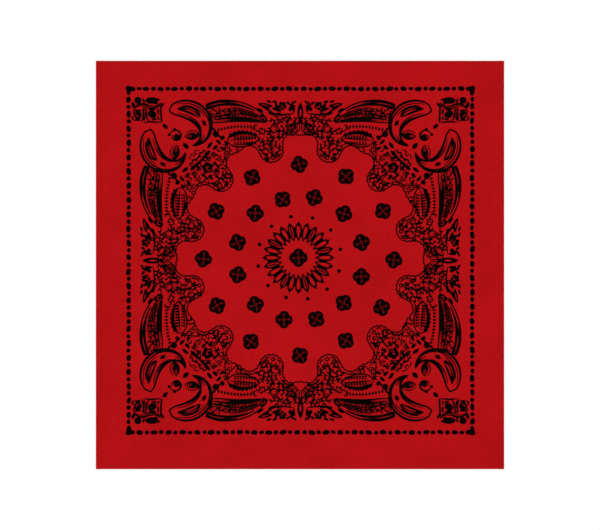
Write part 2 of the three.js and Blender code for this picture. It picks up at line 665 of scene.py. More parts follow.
@dataclass(frozen=True)
class CornerBlock:
    """What stands on the diagonal of a corner: the square block, its spiral, dots and black flower.

    Attributes:
        block: eye of the square block, in corner measure.
        spiral: reach of the spiral.
    """

    block: tuple[float, float] = (21.2, 27.6)
    spiral: float = 8.8

    # middle, half length and half width, turn of each blob of the block
    BLOBS = (
        ((12.4, 15.6), (4.9, 4.4), 10.0), ((31.0, 15.8), (8.6, 4.2), -2.0),
        ((11.8, 35.4), (5.2, 4.8), 60.0), ((31.6, 34.4), (6.4, 4.6), 30.0),
    )

    def square_block(self) -> Artwork:
        """The block: four blobs, a scrolled band and a forked stem between them, and an angle round it."""
        middle = np.array(self.block)
        parts = [disc(*blob) for blob in self.BLOBS]
        parts += [
            stroke(through([
                (7.0, 27.2), (12.0, 22.6), (20.0, 21.6), (28.0, 24.6), (37.0, 24.2), (44.0, 18.6),
            ], 15), 4.8),
            stroke(
                through([(11.0, 24.0), (18.0, 22.2), (27.0, 24.6), (37.0, 23.8)], 10),
                0.6, Press.SWELL, Ink.RESERVED,
            ),
            stroke(through([(44.2, 21.0), (43.4, 28.0), (43.8, 36.0), (44.4, 45.2)], 12), 2.0, Press.EVEN),
            stroke(through([(20.0, 45.6), (28.0, 44.4), (36.0, 44.9), (44.4, 45.2)], 9), 1.8),
            stroke(curl((37.0, 17.6), (4.0, 1.2), 250.0, -300.0, 10), 1.4),
            stroke(curl((8.6, 30.4), (3.4, 1.2), 20.0, 290.0, 9), 1.4),
            stroke(through([(18.6, 26.0), (20.2, 33.0), (19.4, 40.0), (17.4, 45.0)], 9), 2.6),
            stroke(through([(23.4, 26.4), (23.6, 33.0), (24.4, 39.0), (27.6, 43.6)], 9), 2.4),
            leaf((7.4, 28.4), (17.0, 29.4), 3.2, 0.8, count=6),
            leaf((26.6, 27.2), (36.8, 27.6), 2.6, 0.6, count=6),
            leaf((30.6, 41.6), (38.6, 40.8), 2.2, count=5),
            leaf((39.4, 26.0), (40.2, 35.4), 2.4, count=5),
            leaf((41.0, 25.0), (47.6, 18.4), 3.0, 0.8, count=5),
            leaf((7.4, 42.8), (16.6, 42.6), 3.0, -1.0, count=5),
            leaf((4.8, 17.4), (5.6, 24.6), 2.4, count=5),
            leaf((4.6, 36.4), (6.2, 43.0), 2.4, count=5),
            leaf((19.4, 12.8), (21.2, 19.4), 2.4, count=5),
            leaf((38.2, 13.4), (42.4, 15.6), 2.2, count=5),
            stroke(bow((9.0, 33.8), (14.2, 38.2), 0.8, 5), 0.8, Press.SWELL, Ink.RESERVED),
            ring(middle, 1.6, 0.9, count=7),
            stroke(through([(6.4, 18.6), (7.6, 22.6), (6.2, 27.0)], 6), 1.8),
            stroke(through([(14.4, 30.6), (16.6, 35.0), (14.4, 40.6)], 6), 1.8),
            leaf((21.2, 36.0), (21.4, 43.6), 1.6, count=5),
            leaf((38.6, 37.0), (41.4, 42.6), 2.0, count=5),
        ]
        return Artwork.joined(parts)

    def diagonal(self) -> Artwork:
        """The lozenge, the spiral with its black core, the dots and the black flower."""
        parts = [
            leaf((46.0, 47.4), (52.4, 53.8), 4.8, count=7),
            disc((54.6, 61.8), (2.2, 1.8), 60.0, count=5),
            disc((61.8, 54.6), (2.2, 1.8), 30.0, count=5),
            stroke(curl((63.6, 63.6), (self.spiral, 4.6), 178.0, 380.0, 22), 2.1),
            disc((65.0, 65.0), (4.4, 3.8), 40.0, count=7),
            leaf((73.4, 73.4), (80.6, 80.6), 5.6, count=7),
            rosette((106.4, 106.4), 8.2, 5, 0.28, 45.0, count=26),
            disc((106.4, 106.4), (4.6, 4.6), count=7),
            stroke(arc((108.2, 107.6), 2.9, 10.0, 210.0, 7), 0.8, Press.SWELL, Ink.RESERVED),
            ring((105.8, 105.8), 1.3, 0.6, Ink.RESERVED, 7),
            stroke(through([(112.6, 112.6), (118.0, 118.6), (123.0, 123.0)], 6), 0.9),
        ]
        half = [
            leaf((97.4, 98.4), (103.6, 87.6), 2.6, 0.8, count=6),
            leaf((92.6, 94.6), (96.6, 84.6), 2.0, 0.6, count=6),
            leaf((104.6, 97.2), (111.6, 91.6), 2.2, -0.8, count=6),
            leaf((98.6, 91.0), (107.4, 94.2), 2.2, count=5),
            disc((90.2, 87.8), (1.3, 1.3), count=5),
            disc((100.6, 83.4), (1.3, 1.3), count=5),
            stroke(through([(86.8, 86.8), (90.6, 83.2), (95.4, 82.4)], 6), 0.9),
            leaf((116.8, 98.4), (121.8, 106.4), 2.0, 1.0, count=6),
            leaf((115.6, 109.0), (123.0, 112.4), 1.8, -0.8, count=6),
            stroke(curl((113.4, 101.6), (3.2, 1.0), 250.0, 330.0, 10), 1.3),
        ]
        both = Artwork.joined(half).copied([np.eye(2, 3), SWAP])
        return Artwork.joined(parts + [both])

    def draw(self) -> Artwork:
        """Draws the diagonal of one corner and mirrors it into the four."""
        return Artwork.joined([self.square_block(), self.diagonal()]).copied(CORNERS)


@dataclass(frozen=True)
class Paisley:
    """The large paisley beside the diagonal: an outlined drop that ends in a hook round a bud.

    Attributes:
        line: width of its outline.
        lining: width of the thin lines that follow the outline inside.
        eye: middle of the spiral that its spine follows.
        radii: how far the spine's start and its end lie from there.
        start: angle of the spine's start, in degrees.
        sweep: angle that the spine covers.
        bowl: size of the drop's bowl.
        points: number of points on the spine.
    """

    line: float = 2.7
    lining: float = 1.3
    eye: tuple[float, float] = (84.0, 58.5)
    radii: tuple[float, float] = (41.0, 18.0)
    start: float = -136.0
    sweep: float = 218.0
    bowl: float = 14.6
    points: int = 29

    def form(self) -> tuple[np.ndarray, np.ndarray]:
        """The drop's spine and its half width.

        The spine is a spiral whose radius falls by the cube of the way that is left. The half
        width grows by the root of the way and shrinks by the rest to the power of one and a half.

        Returns:
            The spine's points and the half width at each.
        """
        t = np.linspace(0.0, 1.0, self.points)
        radius = self.radii[1] + (self.radii[0] - self.radii[1]) * (1.0 - t) ** 3
        spine = np.array(self.eye) + polar(radius, self.start + self.sweep * t)
        return spine, 2.6 * self.bowl * np.sqrt(t) * (1.0 - t) ** 1.5

    def outline(self) -> np.ndarray:
        """The drop's closed outline."""
        return around(*self.form())

    def draw(self) -> Artwork:
        """Draws the drop, its lining, the leaf in its bowl, the knot in its neck and the bud in its hook."""
        spine, half = self.form()
        neck, eye = spine[13], np.array(self.eye)
        parts = [
            stroke(self.outline(), self.line, Press.EVEN),
            stroke(beside(spine, half, -0.68, 2, 24), self.lining),
            stroke(beside(spine, half, 0.68, 2, 18), 1.1),
            stroke(beside(spine, half, 0.84, 6, 18), 0.9),
            stroke(beside(spine, half, -0.42, 3, 12), 0.9),
            stroke(spine[2:11], 10.0),
            stroke(beside(spine, half, 0.1, 4, 10), 1.7, Press.SWELL, Ink.RESERVED),
            stroke(beside(spine, half, -0.14, 4, 9), 0.8, Press.SWELL, Ink.RESERVED),
            leaf(neck - (3.2, 3.6), neck + (3.2, 3.6), 2.4, count=6),
            leaf(neck + (-3.2, 2.0), neck + (3.2, -2.0), 1.8, count=6),
            leaf(neck - (0.4, 4.4), neck + (0.4, 4.4), 1.4, count=6),
            stroke(beside(spine, half, 0.0, 19, 28), 1.2),
            leaf(eye + (-8.4, 5.6), eye + (11.6, 3.0), 9.4, 1.2, count=9),
            stroke(bow(eye + (2.4, -1.0), eye + (7.6, 3.2), -0.8, 5), 1.0, Press.SWELL, Ink.RESERVED),
            stroke(bow(eye + (-8.0, 2.0), eye + (12.6, 3.8), -5.0, 9), 0.9),
        ]
        for rib in range(3):
            start = (78.4 + 2.6 * rib, 61.0 + 0.3 * rib)
            end = (79.0 + 2.6 * rib, 66.6 - 0.4 * rib)
            parts.append(leaf(start, end, 0.9, 0.5, Ink.RESERVED, 5))
        parts += [
            disc((117.4, 61.0), (4.4, 4.2), 20.0, count=7),
            leaf((106.0, 80.4), (112.4, 72.0), 4.2, count=6),
            leaf((113.0, 81.6), (119.4, 75.6), 4.2, 0.8, count=6),
            leaf((117.4, 69.4), (124.2, 75.6), 3.6, -1.0, count=6),
            leaf((122.4, 78.4), (131.4, 80.8), 3.2, 0.8, count=6),
            leaf((128.4, 70.6), (133.8, 76.8), 3.0, -0.8, count=6),
            leaf((114.0, 87.4), (121.6, 89.4), 2.4, 0.6, count=5),
            leaf((103.0, 91.0), (109.6, 83.0), 3.8, 0.6, count=6),
            leaf((113.6, 52.6), (117.0, 57.4), 2.6, count=5),
            leaf((120.6, 62.0), (124.0, 66.0), 2.4, count=5),
        ]
        return Artwork.joined(parts).copied(HALF_CORNERS)


@dataclass(frozen=True)
class Wing:
    """The striped wing beside the paisley, with the ribbed leaf under it.

    Attributes:
        blunt: middle of the wing's blunt end.
        tip: its tip.
        hump: how far its spine is pushed up in the middle.
        depth: half of its width.
        points: number of points on its spine.
        upper_band: width of the black band along the wing's back.
        lower_band: width of the band that ends in the curled tip.
        stripes: number of thin stripes between them.
        leaf_ends: the ribbed leaf's two ends.
        leaf_depth: half of the leaf's width.
        ribs: number of the leaf's ribs.
    """

    blunt: tuple[float, float] = (107.0, 33.5)
    tip: tuple[float, float] = (187.0, 44.0)
    hump: float = 8.0
    depth: float = 15.0
    points: int = 29
    upper_band: float = 6.2
    lower_band: float = 5.4
    stripes: int = 4
    leaf_ends: tuple[tuple[float, float], tuple[float, float]] = ((133.0, 69.5), (176.0, 66.5))
    leaf_depth: float = 10.2
    ribs: int = 8

    def form(self) -> tuple[np.ndarray, np.ndarray]:
        """The wing's spine, a bow, and its half width.

        The half width closes towards the tip as one less the way to the power of 2.6, the whole
        to the power of three quarters. At the blunt end it starts at 0.86 of that, and it is full
        a fifth of the way along.

        Returns:
            The spine's points and the half width at each.
        """
        t = np.linspace(0.0, 1.0, self.points)
        full = 0.86 + 0.14 * np.minimum(1.0, 5.0 * t)
        return bow(self.blunt, self.tip, -self.hump, self.points), self.depth * full * (1.0 - t**2.6) ** 0.75

    def leaf_form(self) -> tuple[np.ndarray, np.ndarray]:
        """The leaf's spine and its half width, a sine of the way to the power of 0.8, made fuller."""
        t = np.linspace(0.0, 1.0, 17)
        return bow(*self.leaf_ends, 0.0, 17), self.leaf_depth * np.maximum(np.sin(np.pi * t**0.8), 0.0) ** 0.6

    def outline(self) -> np.ndarray:
        """The wing's closed outline."""
        return around(*self.form())

    def leaf_outline(self) -> np.ndarray:
        """The ribbed leaf's closed outline."""
        return around(*self.leaf_form())

    def core(self) -> np.ndarray:
        """The closed outline of the wing's inside, between its bands."""
        spine, half = self.form()
        return around(spine, 0.42 * half)

    def bands(self) -> Artwork:
        """The wing's outline, its black bands, its stripes and its curled tip."""
        spine, half = self.form()
        curl_at = spine[26]
        parts = [
            stroke(self.outline(), 1.4, Press.EVEN),
            disc(beside(spine, half, -0.7, 1, 2)[0], (4.6, 3.6), 60.0, count=7),
            stroke(beside(spine, half, -0.66, 0, 22), self.upper_band, Press.TAIL),
            stroke(beside(spine, half, -0.9, 1, 14), 2.8, Press.TAIL),
            stroke(beside(spine, half, -0.74, 1, 9), 0.8, Press.SWELL, Ink.RESERVED),
            stroke(beside(spine, half, 0.72, 2, 28), self.lower_band, Press.SWELL),
            disc(curl_at, (5.4, 4.7), 60.0),
            stroke(curl(curl_at, (4.0, 1.2), 100.0, 330.0, 11), 0.7, Press.SWELL, Ink.RESERVED),
            stroke(beside(spine, half, 0.8, 3, 11), 0.8, Press.SWELL, Ink.RESERVED),
        ]
        parts += [stroke(beside(spine, half, 0.19 * row - 0.34, 10, 25), 1.05) for row in range(self.stripes)]
        return Artwork.joined(parts)

    def blunt_end(self) -> Artwork:
        """The scrolls, eye and ladder at the wing's blunt end, and the row of specks beneath it."""
        spine, half = self.form()
        parts = [
            stroke(curl((120.6, 36.6), (6.6, 1.5), 150.0, -410.0, 19), 1.5),
            stroke(beside(spine, half, 0.42, 1, 15), 1.3),
            disc((134.6, 34.8), (4.0, 2.4), -22.0, count=7),
            stroke(arc((135.0, 34.6), 5.4, 100.0, -260.0, 10), 1.2),
            stroke(curl((130.0, 29.4), (2.9, 0.9), 20.0, 320.0, 9), 1.2),
        ]
        for step in range(6):
            x = 143.0 + 4.6 * step
            parts.append(leaf((x, 32.4 + 0.3 * step), (x + 1.6, 36.6 + 0.1 * step), 1.6, 0.5, count=5))
        for step in range(4):
            x, y = 107.6 + 0.6 * step, 33.8 + 3.0 * step
            parts.append(leaf((x, y), (x + 5.0, y - 0.6), 1.5, 0.0, count=5))
        t = np.linspace(0.0, 1.0, 12)
        row = np.stack([121.0 + 48.0 * t, 55.2 - 2.2 * np.sin(np.pi * t) - 3.6 * t], -1)
        parts += [leaf(spot - (0.4, 2.2), spot + (0.4, 2.2), 2.5, count=5) for spot in row]
        return Artwork.joined(parts)

    def ribbed_leaf(self) -> Artwork:
        """The leaf under the wing: an outline, a dark back, ribs on both sides of a vein, and a bud."""
        spine, half = self.leaf_form()
        parts = [
            stroke(self.leaf_outline(), 1.6, Press.EVEN),
            stroke(beside(spine, half, -0.78, 1, 14), 4.0, Press.TAIL),
            stroke(spine[1:16], 1.5),
            stroke(beside(spine, half, 0.72, 3, 14), 0.9),
            disc((126.4, 66.0), (2.8, 3.4), 30.0, count=7),
        ]
        for rib in range(self.ribs):
            x = 142.0 + 3.9 * rib
            low = 62.6 - 0.1 * rib
            parts.append(stroke(bow((x, low), (x + 0.8, 68.0), -0.8, 5), 2.3))
            parts.append(stroke(bow((x + 1.6, 70.2), (x + 0.2, 75.2), -0.8, 5), 1.6))
        back = beside(spine, half, -1.0, 2, 16)[::2]
        parts += [disc(spot, (2.7, 1.9), 20.0 * step, count=5) for step, spot in enumerate(back)]
        return Artwork.joined(parts)

    def draw(self) -> Artwork:
        """Draws one wing with its leaf and mirrors it into the eight half corners."""
        return Artwork.joined([self.bands(), self.blunt_end(), self.ribbed_leaf()]).copied(HALF_CORNERS)


@dataclass(frozen=True)
class SideSpray:
    """What stands at the middle of each side: the leaf and flower, the ring scroll, palmette and spike.

    Attributes:
        spike: half width of the spike.
        foot: distance of the palmette's foot from the bead frame.
        drop: how far the leaf and flower are set below their first drawing.
    """

    spike: float = 3.8
    foot: float = 62.0
    drop: float = 2.4

    # angle from the spike's line, length and width of each petal of the palmette's half
    PETALS = ((-24.0, 19.0, 7.6), (-52.0, 23.0, 8.0), (-78.0, 21.0, 7.0))

    def cluster(self) -> Artwork:
        """The leaf, the black flower and the small leaves along the bead frame."""
        middle = FRAME_HALF
        pieces = Artwork.joined([
            leaf((middle - 57.0, 17.4), (middle - 38.0, 21.0), 5.8, 0.9),
            stroke(bow((middle - 53.0, 18.4), (middle - 43.5, 20.4), 0.2, 6), 0.9, Press.SWELL, Ink.RESERVED),
            leaf((middle - 38.5, 24.0), (middle - 26.0, 28.5), 4.6, -1.0, count=7),
            rosette((middle - 24.4, 20.6), 6.2, 5, 0.3, 20.0, count=26),
            disc((middle - 24.2, 20.8), (2.8, 2.8), count=7),
            stroke(arc((middle - 23.6, 21.0), 2.2, 0.0, 250.0, 7), 0.7, Press.SWELL, Ink.RESERVED),
            leaf((middle - 15.4, 27.4), (middle - 11.0, 14.8), 3.6, 1.2, count=7),
            leaf((middle - 8.0, 19.0), (middle - 8.8, 29.5), 3.4, 0.8, count=7),
            leaf((middle - 31.0, 16.6), (middle - 38.0, 14.0), 3.0, count=6),
            stroke(through([
                (middle - 46.0, 24.6), (middle - 35.0, 31.2), (middle - 22.0, 32.4), (middle - 8.0, 30.4),
            ], 10), 1.9),
            leaf((middle - 51.0, 22.4), (middle - 41.0, 27.6), 3.0, -0.8, count=6),
            leaf((middle - 30.0, 25.6), (middle - 34.6, 17.4), 3.8, 0.6, count=6),
            rosette((middle - 13.4, 24.8), 3.2, 4, 0.3, 10.0, count=17),
            leaf((middle - 18.6, 14.6), (middle - 13.4, 19.0), 3.0, 0.6, count=5),
            leaf((middle - 46.0, 13.6), (middle - 39.0, 16.0), 2.6, count=5),
            leaf((middle - 5.6, 13.6), (middle - 9.8, 17.4), 2.6, count=5),
            leaf((middle - 58.6, 24.0), (middle - 50.0, 29.6), 2.4, -0.8, count=6),
            leaf((middle - 42.6, 27.6), (middle - 33.0, 33.4), 3.2, 0.8, count=6),
        ])
        return pieces.copied([move(0.0, self.drop)])

    def palmette(self) -> Artwork:
        """The ring scroll and half of the palmette.

        Each petal is an outline out along one side and back along the other, with a vein.
        """
        middle = FRAME_HALF
        foot = np.array([middle, self.foot])
        parts = [
            ring((middle - 35.0, 53.5), 5.2, 1.2, count=13),
            stroke(arc((middle - 35.0, 53.5), 2.7, 200.0, 240.0, 7), 1.2),
        ]
        for angle, length, width in self.PETALS:
            out = polar(1.0, angle - 90.0)
            root, tip, side = foot + 5.0 * out, foot + length * out, polar(0.5 * width, angle)
            belly = root + 0.5 * (tip - root)
            parts.append(stroke(through([root, belly + side, tip, belly - side, root], 13), 1.0, Press.EVEN))
            parts.append(leaf(root + 0.3 * (tip - root), root + 0.8 * (tip - root), 1.0, count=5))
        return Artwork.joined(parts)

    def draw(self) -> Artwork:
        """Draws half a spray, mirrors it to the eight places, and adds the four spikes."""
        middle = FRAME_HALF
        spike = Artwork.joined([
            leaf((middle, 19.0), (middle, 45.0), 2.0 * self.spike, count=11),
            leaf((middle, 27.0), (middle, 38.0), 2.4, 0.0, Ink.RESERVED, 6),
        ])
        halves = Artwork.joined([self.cluster(), self.palmette()]).copied(HALF_CORNERS)
        return Artwork.joined([halves, spike.copied([CORNER]).copied(wheel(4))])


@dataclass(frozen=True)
class Scrollwork:
    """The close scrolls that fill the ground between the lace and the larger motifs.

    Attributes:
        pitch: distance between the places of neighbouring scrolls.
        line: width of a scroll's line.
        margin: least distance from a scroll's middle to another motif.
        thinning: share of the scrolls that is left out beside the black flower.
        gaps: share that is left out everywhere.
        fine_share: how much thinner the lines are beside the black flower.
        finger_reach: distance from the print's middle inside which the lace has its own ring.
        flower_side: sum of the two corner measures up to which a scroll is beside the black flower.
        grid_start: first place of the grid that the scrolls stand on.
        grid_rows: number of its rows and of its columns.
        grid_shake: how far a scroll may stand off its place on it, each way.
        seed: start of the random draws.
    """

    pitch: float = 5.2
    line: float = 1.75
    margin: float = 2.5
    thinning: float = 0.4
    gaps: float = 0.08
    fine_share: float = 0.7
    finger_reach: float = 143.0
    flower_side: float = 232.0
    grid_start: tuple[float, float] = (80.0, 28.0)
    grid_rows: int = 40
    grid_shake: float = 0.8
    seed: int = 21

    GROUND = (
        (84.0, 84.0), (103.0, 84.0), (121.0, 82.0), (124.0, 70.0), (131.0, 71.0), (140.0, 78.0),
        (152.0, 80.0), (164.0, 80.0), (176.0, 75.0), (175.0, 62.0), (166.0, 54.0), (172.0, 48.0),
        (186.0, 53.0), (191.0, 44.0), (187.0, 33.0), (183.0, 26.0), (187.0, 24.6), (197.0, 29.0),
        (205.0, 33.6), (215.0, 34.6), (222.0, 38.0), (232.0, 42.0), (232.0, 200.0), (150.0, 150.0),
    )
    ROUNDS = (((106.4, 106.4), 9.0), ((196.5, 53.5), 6.5), ((126.4, 66.0), 3.6), ((230.0, 58.0), 10.0))

    def places(self) -> np.ndarray:
        """Where scrolls may stand: a staggered grid, shaken a little, less what other motifs take.

        Returns:
            The places, in corner measure.
        """
        draws = np.random.default_rng(self.seed)
        row, column = np.mgrid[0 : self.grid_rows, 0 : self.grid_rows]
        across = self.grid_start[0] + self.pitch * (column + 0.5 * (row % 2))
        # the rows of an even staggered grid stand 0.866 of its pitch apart
        down = self.grid_start[1] + 0.866 * self.pitch * row
        spots = np.stack([across, down], -1).reshape(-1, 2)
        spots = spots + draws.uniform(-self.grid_shake, self.grid_shake, spots.shape)
        keep = inside(spots, np.array(self.GROUND)) & (spots[:, 1] < spots[:, 0] - 1.0)
        wing = Wing()
        for outline in (wing.leaf_outline(), wing.outline(), Paisley().outline()):
            keep &= clearance(spots, outline) > self.margin
            keep &= ~inside(spots, outline)
        for middle, radius in self.ROUNDS:
            keep &= np.linalg.norm(spots - middle, axis=1) > radius
        near_diagonal = spots[:, 0] + spots[:, 1] < self.flower_side
        keep &= ~(near_diagonal & (draws.random(len(spots)) < self.thinning))
        keep &= np.linalg.norm(spots - FRAME_HALF, axis=1) > self.finger_reach
        keep &= draws.random(len(spots)) > self.gaps
        return spots[keep | inside(spots, wing.core())]

    def draw(self, field: np.ndarray) -> Artwork:
        """Draws a scroll at every place, each a curl of its own hand, start and size.

        A curl's width follows the root of a half sine from end to end. In each half corner the
        scrolls that would touch the open middle are left out.

        Args:
            field: outline of the open middle, in the print's measure.

        Returns:
            The scrolls of all eight half corners.
        """
        draws = np.random.default_rng(self.seed + 1)
        spots = self.places()
        count = len(spots)
        hand = np.where(draws.random(count) < 0.5, -1.0, 1.0)
        start = draws.uniform(0.0, 360.0, count)
        outer = draws.uniform(1.8, 2.9, count)
        t = np.linspace(0.0, 1.0, 8)
        radius = outer[:, None] * (1.0 - 0.45 * t)
        angle = start[:, None] + hand[:, None] * 260.0 * t
        paths = spots[:, None] + polar(radius, angle)
        fine = np.where(spots[:, 0] + spots[:, 1] < self.flower_side, self.fine_share, 1.0)
        half = 0.5 * self.line * fine[:, None] * (0.2 + 0.8 * np.sin(np.pi * t) ** 0.5)
        corners = []
        for corner in HALF_CORNERS:
            there = spots @ corner[:, :2].T + corner[:, 2]
            clear = ~inside(there, field) & (clearance(there, field) > self.margin)
            corners.append(ribbon(paths[clear], half[clear]).copied([corner]))
        return Artwork.joined(corners)


class BandanaPrint:
    """The whole printed design."""

    def draw(self) -> Artwork:
        """Draws every motif and lays them together."""
        lace = LaceEdge()
        return Artwork.joined([
            BeadFrame().draw(), Middle().draw(), lace.draw(), CornerBlock().draw(), Paisley().draw(),
            Wing().draw(), SideSpray().draw(), Scrollwork().draw(lace.field()),
        ])

    def draw_bold(self) -> Artwork:
        """Draws only the bold motifs, which are what shows through on the back."""
        return Artwork.joined([BeadFrame().draw(), Middle().draw(), Paisley().draw()]).printed_only()


# --------------------------------------------------------------------------- finishes


class Bench:
    """Lays out the nodes of one material and joins them.

    Attributes:
        material: the material under work.
        tree: its node tree.
        shader: its surface shader.
    """

    def __init__(self, name: str) -> None:
        """Starts a material with a bare surface shader.

        Args:
            name: the material's name.
        """
        self.material = bpy.data.materials.new(name)
        self.material.use_nodes = True
        self.tree = self.material.node_tree
        self.shader = self.tree.nodes["Principled BSDF"]
        self.place = self.add("ShaderNodeTexCoord").outputs["Object"]

    def add(self, kind: str, **settings: object) -> bpy.types.Node:
        """A new node with its settings."""
        node = self.tree.nodes.new(kind)
        for name, value in settings.items():
            setattr(node, name, value)
        return node

    def feed(self, socket: bpy.types.NodeSocket, value: object) -> None:
        """Joins a socket to another, or sets its value."""
        if isinstance(value, bpy.types.NodeSocket):
            self.tree.links.new(value, socket)
        else:
            socket.default_value = value

    def math(self, operation: str, a: object, b: object = 0.0, c: object = 0.0) -> bpy.types.NodeSocket:
        """The result of one sum on up to three numbers or sockets.

        Args:
            operation: name of the sum.
            a: first number.
            b: second number.
            c: third number.

        Returns:
            The socket with the result.
        """
        node = self.add("ShaderNodeMath", operation=operation)
        for socket, value in zip(node.inputs, (a, b, c)):
            self.feed(socket, value)
        return node.outputs[0]

    def noise(
        self, scale: float, detail: float = 2.0, stretch: tuple[float, float, float] = (1.0, 1.0, 1.0)
    ) -> bpy.types.NodeSocket:
        """Cloudy noise in the object's own measure.

        Args:
            scale: clouds to a metre.
            detail: number of finer layers.
            stretch: how much closer the clouds are along each axis.

        Returns:
            The socket with the noise, from 0 to 1.
        """
        mapping = self.add("ShaderNodeMapping")
        self.feed(mapping.inputs["Vector"], self.place)
        self.feed(mapping.inputs["Scale"], stretch)
        node = self.add("ShaderNodeTexNoise")
        self.feed(node.inputs["Vector"], mapping.outputs[0])
        self.feed(node.inputs["Scale"], scale)
        self.feed(node.inputs["Detail"], detail)
        return node.outputs["Fac"]

    def yarns(self, pitch: float, direction: str) -> bpy.types.NodeSocket:
        """Parallel yarns: a sine of the place along one axis, from 0 to 1 and back over two yarns.

        Args:
            pitch: distance between two yarns, in metres.
            direction: axis that the yarns are counted along.

        Returns:
            The socket with the wave.
        """
        node = self.add("ShaderNodeTexWave", wave_type="BANDS", bands_direction=direction, wave_profile="SIN")
        self.feed(node.inputs["Vector"], self.place)
        self.feed(node.inputs["Scale"], np.pi / (20.0 * pitch))
        self.feed(node.inputs["Distortion"], 0.35)
        self.feed(node.inputs["Detail"], 1.0)
        return node.outputs["Fac"]

    def mix(self, share: object, under: object, over: object) -> bpy.types.NodeSocket:
        """A blend of two colours.

        Args:
            share: how much of the second colour shows.
            under: first colour.
            over: second colour.

        Returns:
            The socket with the blend.
        """
        node = self.add("ShaderNodeMix", data_type="RGBA")
        self.feed(node.inputs["Factor"], share)
        self.feed(node.inputs[6], under)
        self.feed(node.inputs[7], over)
        return node.outputs[2]

    def bump(self, height: bpy.types.NodeSocket, depth: float, strength: float) -> None:
        """Lets a height shape the surface: strength of the relief and its depth in metres."""
        node = self.add("ShaderNodeBump")
        self.feed(node.inputs["Height"], height)
        self.feed(node.inputs["Distance"], depth)
        self.feed(node.inputs["Strength"], strength)
        self.feed(self.shader.inputs["Normal"], node.outputs[0])


@dataclass(frozen=True)
class Cotton:
    """Dyed plain-weave cotton, bare or printed.

    Attributes:
        name: name of the finish.
        dye: colour of the dyed yarn.
        shade: colour where the dye took more deeply, and painted shade in the grooves between the yarns.
        ink: colour of the printing ink.
        printed: whether the cloth carries the print.
        yarn: distance between two yarns, in metres.
        roughness: middle roughness.
    """

    name: str
    dye: tuple[float, float, float] = (0.562, 0.0068, 0.0092)
    shade: tuple[float, float, float] = (0.381, 0.0040, 0.0058)
    ink: tuple[float, float, float] = (0.0016, 0.0007, 0.0008)
    printed: bool = False
    yarn: float = 0.00042
    roughness: float = 0.9

    def make(self) -> bpy.types.Material:
        """Makes the material: dye clouds, slubs, the grooves between the yarns, darkened in the colour as
        painted shade and raised in relief, and, where printed, the ink.

        The product of the warp's wave and the weft's is nought between two yarns, so the grooves
        are one less its size.

        Returns:
            The material.
        """
        bench = Bench(self.name)
        clouds = bench.noise(14.0, 3.0)
        across = bench.noise(60.0, 2.0, (14.0, 1.0, 1.0))
        along = bench.noise(60.0, 2.0, (1.0, 14.0, 1.0))
        slubs = bench.math("MULTIPLY", across, along)
        warp = bench.math("MULTIPLY_ADD", bench.yarns(self.yarn, "X"), 2.0, -1.0)
        weft = bench.math("MULTIPLY_ADD", bench.yarns(self.yarn, "Y"), 2.0, -1.0)
        weave = bench.math("MULTIPLY", warp, weft)
        groove = bench.math("SUBTRACT", 1.0, bench.math("ABSOLUTE", weave))
        deep = bench.math("MULTIPLY_ADD", clouds, 1.0, bench.math("MULTIPLY_ADD", slubs, 1.5, -0.85))
        # the grooves between the yarns are mixed into the colour as painted shade, on top of the deeper dye
        # of the clouds and slubs
        share = bench.math("MULTIPLY_ADD", groove, 0.4, deep)
        held = bench.math("MINIMUM", bench.math("MAXIMUM", share, 0.0), 1.0)
        colour = bench.mix(held, (*self.dye, 1.0), (*self.shade, 1.0))
        if self.printed:
            ink = bench.add("ShaderNodeAttribute", attribute_name="ink").outputs["Fac"]
            wear = bench.math("MULTIPLY_ADD", bench.noise(420.0, 2.0), -0.03, 1.015)
            taken = bench.math("MULTIPLY", ink, bench.math("MINIMUM", wear, 1.0))
            colour = bench.mix(taken, colour, (*self.ink, 1.0))
        bench.feed(bench.shader.inputs["Specular IOR Level"], 0.02)
        bench.feed(bench.shader.inputs["Sheen Weight"], 0.003)
        bench.feed(bench.shader.inputs["Base Color"], colour)
        bench.feed(bench.shader.inputs["Roughness"], bench.math("MULTIPLY_ADD", slubs, 0.1, self.roughness))
        bench.feed(bench.shader.inputs["Sheen Roughness"], 0.45)
        relief = bench.math("MULTIPLY_ADD", slubs, 1.0, bench.math("MULTIPLY", groove, -1.0))
        bench.bump(relief, 0.00022, 0.8)
        return bench.material


@dataclass(frozen=True)
class SewingThread:
    """Spun sewing thread, a shade darker than the cloth.

    Attributes:
        name: name of the finish.
        dye: colour of the thread.
        shade: colour between its plies, painted shade.
        twist: turns of the ply to a metre.
    """

    name: str = "hem thread"
    dye: tuple[float, float, float] = (0.38, 0.006, 0.009)
    shade: tuple[float, float, float] = (0.27, 0.004, 0.006)
    twist: float = 1400.0

    def make(self) -> bpy.types.Material:
        """Makes the material: slanting plies in relief and as painted shade in the colour between them, over
        fine fuzz.

        Returns:
            The material.
        """
        bench = Bench(self.name)
        ply = bench.add("ShaderNodeTexWave", wave_type="BANDS", bands_direction="DIAGONAL")
        bench.feed(ply.inputs["Vector"], bench.place)
        bench.feed(ply.inputs["Scale"], self.twist / 20.0 * np.pi)
        bench.feed(ply.inputs["Distortion"], 0.6)
        fuzz = bench.noise(2500.0)
        # the colour darkens between the plies: painted shade
        share = bench.math("MULTIPLY", ply.outputs["Fac"], fuzz)
        bench.feed(bench.shader.inputs["Base Color"], bench.mix(share, (*self.dye, 1.0), (*self.shade, 1.0)))
        bench.feed(bench.shader.inputs["Roughness"], bench.math("MULTIPLY_ADD", fuzz, 0.2, 0.6))
        bench.feed(bench.shader.inputs["Specular IOR Level"], 0.12)
        bench.feed(bench.shader.inputs["Sheen Weight"], 0.03)
        bench.bump(ply.outputs["Fac"], 0.00005, 0.5)
        return bench.material


